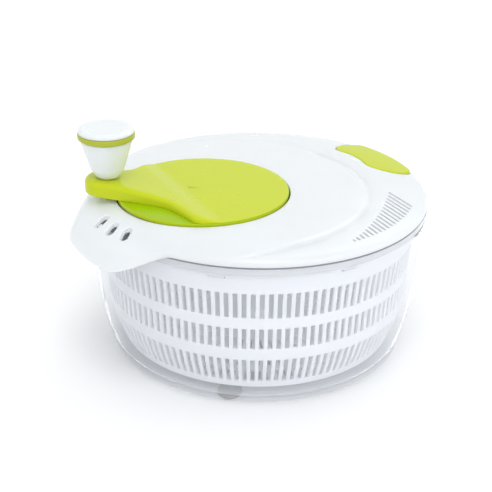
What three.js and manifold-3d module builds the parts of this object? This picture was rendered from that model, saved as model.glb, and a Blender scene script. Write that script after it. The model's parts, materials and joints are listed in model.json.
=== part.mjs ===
// Salad spinner: a clear bowl, a slotted basket that turns on a pivot in the bowl floor, and a lid that
// carries a geared crank, the plate that drives the basket, and a push-button brake.
// Millimetres, +Z up. The origin is the middle of the bowl's flat underside, +X points at the brake.

import * as THREE from 'three';
import { mergeGeometries, mergeVertices } from 'three/addons/utils/BufferGeometryUtils.js';
import Module from 'manifold-3d';

const wasm = await Module();
wasm.setup();

// ---------- driving dimensions ----------
const GAP = 0.3;
const ROUND = 48;
const SMALL_ROUND = 16;

const BOWL_R = 127;
const BOWL_TOP = 115.2;
const BOWL_RIM_LOW = 110.1;
const BOWL_WALL = 2.4;
const BOWL_FLOOR = 3;
const PIVOT_TOP = 17;

const FOOT_R = 8.75;
const FOOT_REACH = 95;
const FOOT_DROP = 1.5;
const FOOT_SUNK = 0.9;
const FOOT_ANGLES = [-133, -13, 107];

const BASKET_BOTTOM = 9.7;
const BASKET_FLOOR = 12;
const BASKET_RIM = 107.5;
const BASKET_WALL = 2.2;
const SLOTS_PER_ROW = 24;
const SLOT_WIDTH = 3.3;
const SLOT_ROWS = [
  { low: 16.5, high: 37.8, lowR: 107, highR: 113.9 },
  { low: 47.1, high: 63.5, lowR: 114.9, highR: 115.8 },
  { low: 72, high: 91.9, lowR: 116.3, highR: 118.5 },
];
const FLOOR_SLOTS = 12;
const NOTCHES = 8;
const NOTCH_WIDTH = 12;
const NOTCH_R = 120.6;

const MODULE = 2.5;
const RING_TEETH = 46;
const PINION_TEETH = 8;
const RING_PITCH_R = RING_TEETH * MODULE / 2;
const PINION_PITCH_R = PINION_TEETH * MODULE / 2;
const ADDENDUM = 2.25;
const DEDENDUM = 2.8;
const BACKLASH = 0.7;

const CRANK_X = PINION_PITCH_R - RING_PITCH_R;
const WELL_R = 64;
const WELL_WALL = 2;
const WELL_FLOOR = [113, 115.5];
const LID_LOW = BOWL_TOP + GAP;
const LID_WALL = 2.5;
const PLATEAU = { x: -30, r: 108 };

const DISC_R = 63;
const DISC_LOW = 126;
const DISC_TOP = 129.3;
const SWOOSH_LOW = 129.2;
const SWOOSH_TOP = 129.9;
const SHOULDER_RISE = 3.2;
const ARM_RISE = 6.4;
const ARM_ANGLE = 150;
const CLIMB_ANGLE = 25;
const NOSE_R = 17;
const KNOB_REACH = 69;
const KNOB_LOW = SWOOSH_TOP + SHOULDER_RISE + ARM_RISE + 0.5;

const PLATE_R = 116.2;
const PLATE = [103.3, 105.5];
const TAB_R = 120.2;
const TAB_WIDTH = 10.8;

const BRAKE_REACH = 112;
const BRAKE_ANGLE = 3;
const POCKET_FLOOR = [111.8, 113.3];
const BUTTON_LOW = 118.2;
const BUTTON_TOP = 124;
const BUTTON_EDGE_R = 123.8;

// The spout keeps its full form out to flat degrees from its middle, and has gone at half degrees.
const SPOUT = { middle: 181, flat: 11, half: 31 };
// Each drain hole's middle lies at reach from the crank's axis, and its long side is turned by swirl.
const SPOUT_HOLES = { angles: [178, 189, 199.5], reach: 80, half: 2, width: 7.5, swirl: 18 };

// The vents: a comb of parallel slots between a round far edge and a bowed near edge.
const COMB = { count: 18, first: 5, pitch: 4.18, width: 2.2, farR: 117.5, near: [-114.3, -61.2], bow: 23 };

const KNOB_ROUND = 28;
const KNOB_BAND = [168.7, 173.2];
const SCREW_R = 1.7;

// ---------- helpers ----------
const rad = THREE.MathUtils.degToRad;
const smooth = (t) => THREE.MathUtils.smoothstep(t, 0, 1);
const polar = (r, degrees, x = 0) =>
  new THREE.Vector2(x + r * Math.cos(rad(degrees)), r * Math.sin(rad(degrees)));

// Keeps positions only, with shared vertices merged and empty triangles dropped.
function welded(geometry) {
  const plain = new THREE.BufferGeometry();
  plain.setAttribute('position', geometry.getAttribute('position').clone());
  if (geometry.index) plain.setIndex(geometry.index.clone());
  const merged = mergeVertices(plain, 1e-4);
  const kept = [];
  const index = merged.index.array;
  for (let i = 0; i < index.length; i += 3) {
    const [a, b, c] = index.slice(i, i + 3);
    if (a !== b && b !== c && c !== a) kept.push(a, b, c);
  }
  merged.setIndex(kept);
  return merged;
}

function solid(geometry) {
  const closed = welded(geometry);
  const vertProperties = new Float32Array(closed.getAttribute('position').array);
  const triVerts = new Uint32Array(closed.index.array);
  return new wasm.Manifold(new wasm.Mesh({ numProp: 3, vertProperties, triVerts }));
}

function geometryOf(manifold) {
  const mesh = manifold.getMesh();
  const geometry = new THREE.BufferGeometry();
  geometry.setAttribute('position', new THREE.BufferAttribute(new Float32Array(mesh.vertProperties), 3));
  geometry.setIndex(new THREE.BufferAttribute(new Uint32Array(mesh.triVerts), 1));
  geometry.computeVertexNormals();
  return geometry;
}

// Turns a closed [radius, z] outline about the vertical line at (x, y).
function turned(outline, x = 0, y = 0, segments = SMALL_ROUND) {
  const points = outline.map(([r, z]) => new THREE.Vector2(r, z));
  if (THREE.ShapeUtils.area(points) < 0) points.reverse();
  points.push(points[0].clone());
  const geometry = new THREE.LatheGeometry(points, segments);
  geometry.rotateX(Math.PI / 2);
  geometry.translate(x, y, 0);
  return welded(geometry);
}

const rod = (r, low, high, x = 0, y = 0, segments = SMALL_ROUND) =>
  turned([[0, low], [r, low], [r, high], [0, high]], x, y, segments);

const tube = (inner, outer, low, high, x = 0, y = 0, segments = SMALL_ROUND) =>
  turned([[inner, low], [outer, low], [outer, high], [inner, high]], x, y, segments);

function prism(points, low, high) {
  const shape = new THREE.Shape(points);
  const geometry = new THREE.ExtrudeGeometry(shape, { depth: high - low, bevelEnabled: false });
  geometry.translate(0, 0, low);
  return welded(geometry);
}

// A box from inner to outer radius, centred on an angle seen from the line at x.
function radialBox(inner, outer, width, low, high, degrees, x = 0) {
  const box = new THREE.BoxGeometry(outer - inner, width, high - low);
  box.translate((inner + outer) / 2, 0, (low + high) / 2);
  box.rotateZ(rad(degrees));
  box.translate(x, 0, 0);
  return box;
}

const evenly = (count, start = 0) => Array.from({ length: count }, (_, i) => start + i * 360 / count);

const COLOURS = {
  clear: { color: 0xe4ecec, roughness: 0.08, metalness: 0 },
  white: { color: 0xf3f5f5, roughness: 0.3, metalness: 0 },
  lime: { color: 0xc3d82a, roughness: 0.28, metalness: 0 },
  rubber: { color: 0x85898a, roughness: 0.85, metalness: 0 },
  nylon: { color: 0xdedfd8, roughness: 0.5, metalness: 0 },
  steel: { color: 0xb9bcbf, roughness: 0.3, metalness: 1 },
};

function part(name, shape, colour) {
  const geometry = shape.isBufferGeometry ? shape : geometryOf(shape);
  const mesh = new THREE.Mesh(geometry, new THREE.MeshStandardMaterial(COLOURS[colour]));
  mesh.name = name;
  return mesh;
}

// ---------- bowl and feet ----------
function bowl() {
  const outline = [
    [0, 0], [105.7, 0], [109.6, 0.7], [111.8, 2.6], [115.4, 13.5], [119.5, 29.5], [123.6, 56.5], [126, 85],
    [126.4, BOWL_RIM_LOW - 0.4], [BOWL_R, BOWL_RIM_LOW], [BOWL_R, BOWL_TOP],
    [BOWL_R - BOWL_WALL, BOWL_TOP], [124, 85],
    [121.2, 56.5], [117.1, 29.5], [113, 13.5], [110.4, 6.2], [107.5, 3.5], [104, BOWL_FLOOR],
    [9, BOWL_FLOOR], [7.2, 5], [5, 16.2], [4, PIVOT_TOP], [0, PIVOT_TOP],
  ];
  const recesses = FOOT_ANGLES.map((angle) => {
    const place = polar(FOOT_REACH, angle);
    return rod(FOOT_R + GAP, -1, FOOT_SUNK + GAP, place.x, place.y);
  });
  return solid(turned(outline, 0, 0, ROUND)).subtract(solid(mergeGeometries(recesses)));
}

function foot(angle) {
  const place = polar(FOOT_REACH, angle);
  const outline = [
    [0, -FOOT_DROP], [FOOT_R - 0.5, -FOOT_DROP], [FOOT_R, -FOOT_DROP + 0.5],
    [FOOT_R, FOOT_SUNK], [0, FOOT_SUNK],
  ];
  return turned(outline, place.x, place.y);
}

// ---------- basket ----------
function basket() {
  const outer = [[104.6, BASKET_BOTTOM]];
  const inner = [[101.5, BASKET_FLOOR]];
  for (const { low, high, lowR, highR } of SLOT_ROWS) {
    outer.push([lowR, low], [highR, high]);
    inner.push([lowR - BASKET_WALL, low], [highR - BASKET_WALL, high]);
  }
  outer.push([119.3, 105.3], [122, 105.3], [122, BASKET_RIM]);
  inner.push([116.9, 104], [116.9, BASKET_RIM]);
  const hubTop = [[9.5, BASKET_FLOOR], [8.5, 20], [0, 20]];
  const socket = [[0, PIVOT_TOP + 0.4], [4.5, PIVOT_TOP + 0.4], [5.5, 16.4], [7.3, BASKET_BOTTOM]];
  const body = solid(turned([...socket, ...outer, ...inner.reverse(), ...hubTop], 0, 0, ROUND));

  const cuts = [];
  for (const { low, high, lowR } of SLOT_ROWS) {
    for (const angle of evenly(SLOTS_PER_ROW)) {
      cuts.push(radialBox(lowR - 6, lowR + 10, SLOT_WIDTH, low, high, angle));
    }
  }
  for (const angle of evenly(FLOOR_SLOTS)) {
    cuts.push(radialBox(35, 92, SLOT_WIDTH, BASKET_BOTTOM - 1, BASKET_FLOOR + 1, angle));
  }
  for (const angle of evenly(NOTCHES)) {
    cuts.push(radialBox(112, NOTCH_R, NOTCH_WIDTH, PLATE[0] - GAP, BASKET_RIM + 1, angle));
  }
  return body.subtract(solid(mergeGeometries(cuts.map(welded))));
}

// ---------- lid ----------
// Where a side outline of the spout lies, from the lid's own edge (share 0) to the middle of the spout (1).
const SPOUT_OUTSIDE = {
  edge: [
    [112, 126.2], [118, 124.7], [121, 123.2], [124.7, 120.8], [126.3, 119.3], [BOWL_R, 117], [BOWL_R, LID_LOW],
  ],
  middle: [
    [112, 126.2], [118, 124.5], [125, 121.4], [132, 117.3], [138, 112.6], [142.5, 106.5], [145.5, 99],
  ],
};
const SPOUT_INSIDE = {
  edge: [
    [112, 123.7], [117, 122.2], [120, 120.7], [122.9, 119], [124, 118], [124.4, 116.5], [124.4, LID_LOW],
  ],
  middle: [
    [112, 123.7], [117, 122.2], [123.8, 119.2], [130.6, 115.2], [136.2, 110.8], [140.4, 105.2], [143.1, 99],
  ],
};

// A wedge about the bowl's axis whose side outline swells from the lid's edge to the spout and back.
function spoutWedge({ edge, middle }, lower) {
  const steps = 16;
  const loops = [];
  for (let i = 0; i <= steps; i += 1) {
    const away = SPOUT.half * (2 * i / steps - 1);
    const share = 1 - smooth((Math.abs(away) - SPOUT.flat) / (SPOUT.half - SPOUT.flat));
    const side = edge.map(([r, z], k) => new THREE.Vector2(
      r + (middle[k][0] - r) * share, z + (middle[k][1] - z) * share));
    const last = side[side.length - 1];
    last.y -= lower;
    loops.push({ angle: SPOUT.middle + away, side: [new THREE.Vector2(edge[0][0], last.y), ...side] });
  }
  const around = loops[0].side.length;
  const positions = loops.flatMap(({ angle, side }) => side.flatMap((p) => {
    const flat = polar(p.x, angle);
    return [flat.x, flat.y, p.y];
  }));
  const index = [];
  for (let i = 0; i < steps; i += 1) {
    for (let k = 0; k < around; k += 1) {
      const a = i * around + k;
      const b = i * around + (k + 1) % around;
      index.push(a, b, a + around, b, b + around, a + around);
    }
  }
  const cap = THREE.ShapeUtils.triangulateShape(loops[0].side, []);
  const start = steps * around;
  for (const [a, b, c] of cap) {
    index.push(a, b, c, start + a, start + c, start + b);
  }
  const geometry = new THREE.BufferGeometry();
  geometry.setAttribute('position', new THREE.Float32BufferAttribute(positions, 3));
  geometry.setIndex(index);
  return solid(geometry);
}

// The lid as a filled block: a gently sloping deck, a raised round plateau, and a rounded outer edge.
function lidBlock(inset) {
  const low = LID_LOW - (inset > 0 ? 1 : 0);
  const r = (value) => value - inset;
  const z = (value) => value - inset;
  const deck = turned([
    [0, low], [r(BOWL_R), low], [r(BOWL_R), 117 - inset / 2], [r(126.3), 119.3 - inset / 2],
    [r(124.7), z(120.8) + 0.4 * inset], [r(115), z(122.7)], [78, z(124.6)], [0, z(124.8)],
  ], 0, 0, ROUND);
  const plateau = turned([
    [0, low], [r(PLATEAU.r + 1.5), low], [r(PLATEAU.r + 1.5), z(123)], [r(PLATEAU.r), z(125.6)],
    [r(PLATEAU.r - 4), z(126.4)], [80, z(128)], [0, z(128.5)],
  ], PLATEAU.x, 0, ROUND);
  const envelope = turned([
    [0, low], [r(BOWL_R), low], [r(BOWL_R), 117 - inset / 2], [r(126.3), 119.3 - inset / 2],
    [r(124.7), z(120.8) + 0.4 * inset], [r(121), z(123.2)], [r(115), z(125.6)], [r(105), z(127.6)],
    [r(95), z(128.3)], [0, z(128.5)],
  ], 0, 0, ROUND);
  return solid(deck).add(solid(plateau).intersect(solid(envelope)));
}

// Moves each corner of a closed outline outwards by the same distance.
function grown(points, by) {
  const turnSign = Math.sign(THREE.ShapeUtils.area(points));
  const count = points.length;
  return points.map((p, i) => {
    const before = p.clone().sub(points[(i + count - 1) % count]).normalize();
    const after = points[(i + 1) % count].clone().sub(p).normalize();
    const mid = before.clone().add(after).normalize();
    const stretch = by * turnSign / Math.max(0.4, mid.dot(after));
    return new THREE.Vector2(p.x + mid.y * stretch, p.y - mid.x * stretch);
  });
}

// The brake button's leaf outline: the lid's edge outside, a soft curve with a finger dip inside.
function buttonOutline() {
  const outer = new THREE.EllipseCurve(0, 0, BUTTON_EDGE_R, BUTTON_EDGE_R, rad(-15.5), rad(13)).getPoints(7);
  const inner = new THREE.SplineCurve([
    polar(118, 18), polar(112.5, 20.5), polar(106.5, 20.8), polar(101, 19), polar(99.7, 15.5),
    polar(100, 10), polar(98.6, 2.6), polar(95.9, -5), polar(98.5, -10), polar(104, -14.3),
    polar(110.5, -17), polar(118, -17.9),
  ]).getPoints(22);
  return [...outer, ...inner];
}

function combSlots() {
  const slots = [];
  for (let i = 0; i < COMB.count; i += 1) {
    const x = COMB.first + COMB.pitch * i;
    const far = -Math.sqrt(COMB.farR ** 2 - x ** 2);
    const along = i / (COMB.count - 1);
    const near = THREE.MathUtils.lerp(...COMB.near, along) - COMB.bow * along * (1 - along);
    const box = new THREE.BoxGeometry(COMB.width, near - far, 30);
    box.translate(x, (near + far) / 2, 125);
    slots.push(welded(box));
  }
  return solid(mergeGeometries(slots));
}

function spoutHoles() {
  const { angles, reach, half, width, swirl } = SPOUT_HOLES;
  const holes = angles.map((angle) => {
    const shape = new THREE.Shape();
    shape.absarc(half, 0, width / 2, -Math.PI / 2, Math.PI / 2);
    shape.absarc(-half, 0, width / 2, Math.PI / 2, 3 * Math.PI / 2);
    const cut = prism(shape.getPoints(8), 108, 135);
    cut.rotateZ(rad(swirl));
    cut.translate(reach, 0, 0);
    cut.rotateZ(rad(angle));
    cut.translate(CRANK_X, 0, 0);
    return cut;
  });
  return solid(mergeGeometries(holes));
}

const brakePlace = polar(BRAKE_REACH, BRAKE_ANGLE);

function lid() {
  const outside = lidBlock(0).add(spoutWedge(SPOUT_OUTSIDE, 0));
  const inside = lidBlock(LID_WALL).add(spoutWedge(SPOUT_INSIDE, 1));
  const well = solid(rod(WELL_R, 100, 140, CRANK_X, 0, ROUND));
  const pocketEdge = grown(buttonOutline(), 0.5);
  const pocket = solid(prism(pocketEdge, POCKET_FLOOR[1], 140));

  const locating = turned([
    [122.2, 110.3], [124.1, 110.3], [124.1, LID_LOW], [125, LID_LOW], [125, 118], [122.2, 118],
  ], 0, 0, ROUND);
  const passage = solid(welded(radialBox(100, 140, 72, 105, 118.3, SPOUT.middle)));
  const wellWall = solid(tube(WELL_R, WELL_R + WELL_WALL, WELL_FLOOR[0], 135, CRANK_X, 0, ROUND));
  const wellFloor = solid(rod(WELL_R + WELL_WALL, WELL_FLOOR[0], WELL_FLOOR[1], CRANK_X, 0, ROUND));
  const keepIn = outside.add(solid(rod(124, POCKET_FLOOR[0] - 1, LID_LOW + 0.1, 0, 0, ROUND)));
  const pocketWall = solid(prism(grown(buttonOutline(), 2.3), POCKET_FLOOR[0], 135)).intersect(keepIn);
  const throughHoles = [
    rod(8, 100, 120, CRANK_X), rod(7.3, 100, 120), rod(3, 100, 120, brakePlace.x, brakePlace.y),
  ];

  return outside.subtract(inside)
    .subtract(solid(rod(BOWL_R + 0.35, 90, LID_LOW - 0.05, 0, 0, ROUND)))
    .add(solid(locating).subtract(passage))
    .subtract(well)
    .add(wellWall.intersect(outside))
    .add(wellFloor)
    .add(pocketWall)
    .subtract(pocket)
    .subtract(combSlots())
    .subtract(spoutHoles())
    .subtract(solid(mergeGeometries(throughHoles)));
}

// ---------- crank ----------
// The raised swoosh on the disc, with the arm along +X: a round nose under the knob, a front edge that sweeps
// in over the disc and out again to its rim, and a shorter sweep at the back.
function swooshOutline() {
  const curve = (points, count) => new THREE.SplineCurve(points.map(([x, y]) => new THREE.Vector2(x, y)))
    .getPoints(count);
  const nose = new THREE.EllipseCurve(KNOB_REACH, 0, NOSE_R, NOSE_R, rad(-90), rad(67)).getPoints(12);
  const front = curve([
    [64, 20.2], [51.6, 25.1], [37.1, 30.4], [26.2, 35.8], [19, 42.8], [11.7, 52.3], [5, 61],
  ], 14);
  const rim = new THREE.EllipseCurve(0, 0, DISC_R - GAP, DISC_R - GAP, rad(89), rad(312)).getPoints(40);
  const back = curve([[45, -37], [48, -27], [52.5, -20.6], [60, -17.5]], 6);
  return [...nose, ...front, ...rim, ...back];
}

// The swoosh steps up from the disc, then climbs to the knob, along a line turned a little towards its front.
function swooshTop({ x, y }) {
  const along = x * Math.cos(rad(CLIMB_ANGLE)) + y * Math.sin(rad(CLIMB_ANGLE));
  return SWOOSH_TOP + SHOULDER_RISE * smooth((along - 10) / 18) + ARM_RISE * smooth((along - 14) / 54);
}

function swoosh() {
  const outline = swooshOutline();
  const shoulder = 3;
  const loops = [{ points: outline, height: () => SWOOSH_LOW }];
  for (const inset of [0, 0.9, shoulder]) {
    const drop = 1 - Math.sqrt(1 - (1 - inset / shoulder) ** 2);
    const height = (p) => {
      const top = swooshTop(p);
      return top - drop * Math.min(2.5, 0.8 * (top - SWOOSH_LOW));
    };
    loops.push({ points: grown(outline, -inset), height });
  }
  const inner = loops[loops.length - 1].points;
  for (const share of [0.8, 0.6, 0.4, 0.2]) {
    loops.push({ points: inner.map((p) => p.clone().multiplyScalar(share)), height: swooshTop });
  }
  const positions = loops.flatMap(({ points, height }) => points.flatMap((p) => [p.x, p.y, height(p)]));
  const around = outline.length;
  const low = loops.length * around;
  const top = low + 1;
  positions.push(0, 0, SWOOSH_LOW, 0, 0, swooshTop({ x: 0, y: 0 }));
  const index = [];
  for (let i = 0; i < around; i += 1) {
    const next = (i + 1) % around;
    index.push(low, next, i);
    for (let k = 0; k < loops.length - 1; k += 1) {
      const here = k * around;
      const above = here + around;
      index.push(here + i, here + next, above + i, above + i, here + next, above + next);
    }
    index.push(low - around + i, low - around + next, top);
  }
  const geometry = new THREE.BufferGeometry();
  geometry.setAttribute('position', new THREE.Float32BufferAttribute(positions, 3));
  geometry.setIndex(index);
  geometry.rotateZ(rad(ARM_ANGLE));
  geometry.translate(CRANK_X, 0, 0);
  return solid(geometry);
}

const knobPlace = polar(KNOB_REACH, ARM_ANGLE, CRANK_X);
const GEAR_SCREW_R = 30;
const gearScrewPlaces = evenly(3, 30).map((angle) => polar(GEAR_SCREW_R, angle, CRANK_X));
const PIN_LOW = 131;

function crankDisc() {
  const holes = gearScrewPlaces.map((place) => rod(SCREW_R, DISC_LOW - 1, 128.3, place.x, place.y));
  holes.push(rod(4 + GAP, PIN_LOW - GAP, 150, knobPlace.x, knobPlace.y));
  return solid(rod(DISC_R, DISC_LOW, DISC_TOP, CRANK_X, 0, ROUND))
    .add(swoosh())
    .subtract(solid(mergeGeometries(holes)));
}

// Gear teeth with straight flanks, centred on +X. The halves are the tooth's half widths at each radius.
function toothed(teeth, stations) {
  const points = [];
  for (let i = 0; i < teeth; i += 1) {
    const middle = 2 * Math.PI * i / teeth;
    const flank = stations.map(([r, half]) => [r, half / r]);
    for (const [r, half] of flank) {
      points.push(new THREE.Vector2(r * Math.cos(middle - half), r * Math.sin(middle - half)));
    }
    for (const [r, half] of flank.reverse()) {
      points.push(new THREE.Vector2(r * Math.cos(middle + half), r * Math.sin(middle + half)));
    }
  }
  return points;
}

const PITCH_HALF = (Math.PI * MODULE / 2 - BACKLASH) / 2;
const SLOPE = Math.tan(rad(20));
const RING_GEAR = [117.6, 125.6];
const RING_OUTER_R = RING_PITCH_R + DEDENDUM + 2.1;
const WEB_LOW = 124.1;

function ringGear() {
  const shape = new THREE.Shape().absarc(0, 0, RING_OUTER_R, 0, 2 * Math.PI);
  const rootR = RING_PITCH_R + DEDENDUM;
  const tipR = RING_PITCH_R - ADDENDUM;
  const spaces = toothed(RING_TEETH, [
    [tipR, Math.PI * tipR / RING_TEETH - PITCH_HALF + SLOPE * ADDENDUM],
    [rootR, Math.PI * rootR / RING_TEETH - PITCH_HALF - SLOPE * DEDENDUM],
  ]);
  shape.holes.push(new THREE.Path(spaces));
  const teeth = new THREE.ExtrudeGeometry(shape, {
    depth: WEB_LOW + 0.2 - RING_GEAR[0], bevelEnabled: false, curveSegments: ROUND / 2,
  });
  teeth.translate(CRANK_X, 0, RING_GEAR[0]);
  const holes = gearScrewPlaces.map((place) => rod(SCREW_R, WEB_LOW - 1, 127, place.x, place.y));
  return solid(teeth)
    .add(solid(tube(24, RING_OUTER_R, WEB_LOW, RING_GEAR[1], CRANK_X, 0, ROUND)))
    .subtract(solid(mergeGeometries(holes)));
}

function gearScrew(place) {
  return turned([
    [0, WEB_LOW - 2], [3.2, WEB_LOW - 2], [3.2, WEB_LOW - GAP], [SCREW_R - GAP, WEB_LOW - GAP],
    [SCREW_R - GAP, 128], [0, 128],
  ], place.x, place.y, 20);
}

const crankAxle = () => turned([
  [2.1, 110.9], [7.5, 110.9], [7.5, 122.2], [14, 123], [14, 125.6], [0, 125.6], [0, 119], [2.1, 119],
], CRANK_X);

const crankWasher = () => tube(2.1, 12, 109, 110.6, CRANK_X);

const crankScrew = () => turned([
  [0, 106.9], [4, 106.9], [5, 107.6], [5, 108.7], [1.8, 108.7], [1.8, 118], [0, 118],
], CRANK_X);

// ---------- knob ----------
const knobPin = () => turned([
  [0, PIN_LOW], [4, PIN_LOW], [4, 160.6], [6.5, 160.6], [6.5, 163.5], [5.5, 164.2], [0, 164.2],
], knobPlace.x, knobPlace.y);

const knobBody = () => turned([
  [4.4, KNOB_LOW], [9.4, KNOB_LOW], [10.2, KNOB_LOW + 1.4], [12, KNOB_LOW + 5], [15.6, KNOB_LOW + 16.5],
  [19, KNOB_BAND[0] - GAP], [8, KNOB_BAND[0] - GAP], [8, 160], [4.4, 160],
], knobPlace.x, knobPlace.y, KNOB_ROUND);

const knobRing = () => turned([
  [16, KNOB_BAND[0]], [19.6, KNOB_BAND[0]], [20.6, KNOB_BAND[0] + 0.9], [20.6, KNOB_BAND[1] - 0.8],
  [20.2, KNOB_BAND[1]], [16, KNOB_BAND[1]],
], knobPlace.x, knobPlace.y, KNOB_ROUND);

const knobCap = () => turned([
  [0, 168.8], [16 - GAP, 168.8], [16 - GAP, KNOB_BAND[1] + GAP], [20.2, KNOB_BAND[1] + GAP], [20.2, 175.2],
  [19, 176.4], [15, 177.2], [0, 177.5],
], knobPlace.x, knobPlace.y, KNOB_ROUND);

// ---------- basket drive ----------
const SHAFT_R = 4;
const SHAFT_LOW = 104.4;

const driveBushing = () => turned([
  [SHAFT_R + GAP, 112.8], [7, 112.8], [7, 115.8], [9.2, 115.8], [9.2, 116.3], [SHAFT_R + GAP, 116.3],
]);

function pinion() {
  const gear = solid(prism(toothed(PINION_TEETH, [
    [PINION_PITCH_R - DEDENDUM, 2.2],
    [PINION_PITCH_R, PITCH_HALF],
    [PINION_PITCH_R + ADDENDUM, PITCH_HALF - SLOPE * ADDENDUM],
  ]), 116.7, 123.4));
  const shaft = solid(rod(SHAFT_R, SHAFT_LOW, 117));
  return gear.add(shaft).subtract(solid(rod(2, SHAFT_LOW - 1, 114, 0, 0, 16)));
}

function drivePlate() {
  const hub = tube(SHAFT_R + GAP, 8.5, PLATE[0], 112.4);
  const plate = tube(SHAFT_R + GAP, PLATE_R, PLATE[0], PLATE[1], 0, 0, ROUND);
  const tabs = evenly(NOTCHES).map((angle) => welded(
    radialBox(PLATE_R - 6, TAB_R, TAB_WIDTH, PLATE[0], PLATE[1], angle)));
  return solid(plate).add(solid(hub)).add(solid(mergeGeometries(tabs)));
}

const driveWasher = () => tube(2, 8, 101.6, 103);

const driveScrew = () => turned([
  [0, 99.4], [3.6, 99.4], [4.6, 100.2], [4.6, 101.3], [SCREW_R, 101.3], [SCREW_R, 113], [0, 113],
]);

// ---------- brake ----------
function brakeButton() {
  const recess = rod(6.5, BUTTON_LOW - 1, 121.9, brakePlace.x, brakePlace.y);
  const edge = solid(prism(buttonOutline(), BUTTON_LOW, BUTTON_TOP - 1));
  const top = solid(prism(grown(buttonOutline(), -1), BUTTON_TOP - 1.5, BUTTON_TOP));
  return edge.add(top).subtract(solid(recess));
}

const brakeStem = () => turned([
  [0, 110.7], [5, 110.7], [5, 111.5], [2.5, 111.5], [2.5, 121.6], [0, 121.6],
], brakePlace.x, brakePlace.y);

const brakePad = () => rod(4.5, 108.8, 110.4, brakePlace.x, brakePlace.y);

class Coil extends THREE.Curve {
  constructor(radius, low, high, turns) {
    super();
    Object.assign(this, { radius, low, high, turns });
  }

  getPoint(t) {
    const angle = t * this.turns * 2 * Math.PI;
    const z = this.low + (this.high - this.low) * t;
    return new THREE.Vector3(this.radius * Math.cos(angle), this.radius * Math.sin(angle), z);
  }
}

function brakeSpring() {
  const wire = 0.45;
  const turns = 4;
  const section = new THREE.Shape(Array.from({ length: 5 }, (_, i) => polar(wire, i * 72)));
  const coil = new Coil(4.6, POCKET_FLOOR[1] + GAP + wire, 121.6 - wire, turns);
  const geometry = new THREE.ExtrudeGeometry(section, { steps: turns * 9, extrudePath: coil });
  geometry.translate(brakePlace.x, brakePlace.y, 0);
  return welded(geometry);
}

// ---------- assembly ----------
const spinner = new THREE.Group();
spinner.add(part('bowl', bowl(), 'clear'));
FOOT_ANGLES.forEach((angle, i) => spinner.add(part(`foot_${i + 1}`, foot(angle), 'rubber')));
spinner.add(part('basket', basket(), 'white'));

const lidGroup = new THREE.Group();
lidGroup.add(part('lid', lid(), 'white'), part('drive_bushing', driveBushing(), 'nylon'));
spinner.add(lidGroup);

const crank = new THREE.Group();
crank.add(part('crank_disc', crankDisc(), 'lime'), part('ring_gear', ringGear(), 'nylon'));
gearScrewPlaces.forEach((place, i) => crank.add(part(`ring_gear_screw_${i + 1}`, gearScrew(place), 'steel')));
crank.add(part('crank_axle', crankAxle(), 'nylon'), part('crank_washer', crankWasher(), 'steel'));
crank.add(part('crank_screw', crankScrew(), 'steel'), part('knob_pin', knobPin(), 'nylon'));
lidGroup.add(crank);

const knob = new THREE.Group();
knob.add(part('knob_body', knobBody(), 'white'), part('knob_ring', knobRing(), 'lime'));
knob.add(part('knob_cap', knobCap(), 'white'));
crank.add(knob);

const drive = new THREE.Group();
drive.add(part('pinion', pinion(), 'nylon'), part('drive_plate', drivePlate(), 'white'));
drive.add(part('drive_washer', driveWasher(), 'steel'), part('drive_screw', driveScrew(), 'steel'));
lidGroup.add(drive);

const brake = new THREE.Group();
brake.add(part('brake_button', brakeButton(), 'lime'), part('brake_stem', brakeStem(), 'nylon'));
brake.add(part('brake_pad', brakePad(), 'rubber'), part('brake_spring', brakeSpring(), 'steel'));
lidGroup.add(brake);

export default spinner;
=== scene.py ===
import json
import math

import bmesh
import bpy
import numpy as np
from mathutils import Matrix, Vector


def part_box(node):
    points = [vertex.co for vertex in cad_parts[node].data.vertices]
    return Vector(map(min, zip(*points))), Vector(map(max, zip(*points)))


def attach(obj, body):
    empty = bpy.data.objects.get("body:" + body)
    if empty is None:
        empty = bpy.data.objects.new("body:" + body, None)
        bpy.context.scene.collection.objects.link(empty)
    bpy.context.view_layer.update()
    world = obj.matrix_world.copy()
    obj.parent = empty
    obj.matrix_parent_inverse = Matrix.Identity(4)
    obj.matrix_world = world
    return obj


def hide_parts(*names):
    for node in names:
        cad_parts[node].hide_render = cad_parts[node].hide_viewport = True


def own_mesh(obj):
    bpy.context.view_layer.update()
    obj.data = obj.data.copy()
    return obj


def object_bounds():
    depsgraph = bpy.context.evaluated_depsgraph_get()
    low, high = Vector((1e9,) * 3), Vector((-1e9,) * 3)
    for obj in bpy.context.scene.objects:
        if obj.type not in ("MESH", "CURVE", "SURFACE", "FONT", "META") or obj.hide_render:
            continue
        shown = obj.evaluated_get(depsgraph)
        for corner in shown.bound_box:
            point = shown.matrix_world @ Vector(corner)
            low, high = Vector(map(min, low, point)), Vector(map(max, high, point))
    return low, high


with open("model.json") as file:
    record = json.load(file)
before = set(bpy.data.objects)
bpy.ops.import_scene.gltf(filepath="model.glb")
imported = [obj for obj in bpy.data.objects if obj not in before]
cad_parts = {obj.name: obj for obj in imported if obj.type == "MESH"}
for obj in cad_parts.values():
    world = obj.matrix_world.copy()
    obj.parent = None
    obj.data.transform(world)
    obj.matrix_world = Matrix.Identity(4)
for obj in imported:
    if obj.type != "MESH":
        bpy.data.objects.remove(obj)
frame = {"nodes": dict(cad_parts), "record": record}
CAD_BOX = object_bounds()

# Shapes are in millimetres until a mesh is made. The stage and the camera are in metres.
MM = 0.001


# ---------- what the frame says ----------
def span(node):
    """Lowest and highest corner of a CAD node, in millimetres."""
    low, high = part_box(node)
    return Vector(low) / MM, Vector(high) / MM


def axis_of(node):
    """Where a round node's upright axis stands."""
    low, high = span(node)
    return (low.x + high.x) / 2, (low.y + high.y) / 2


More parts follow.
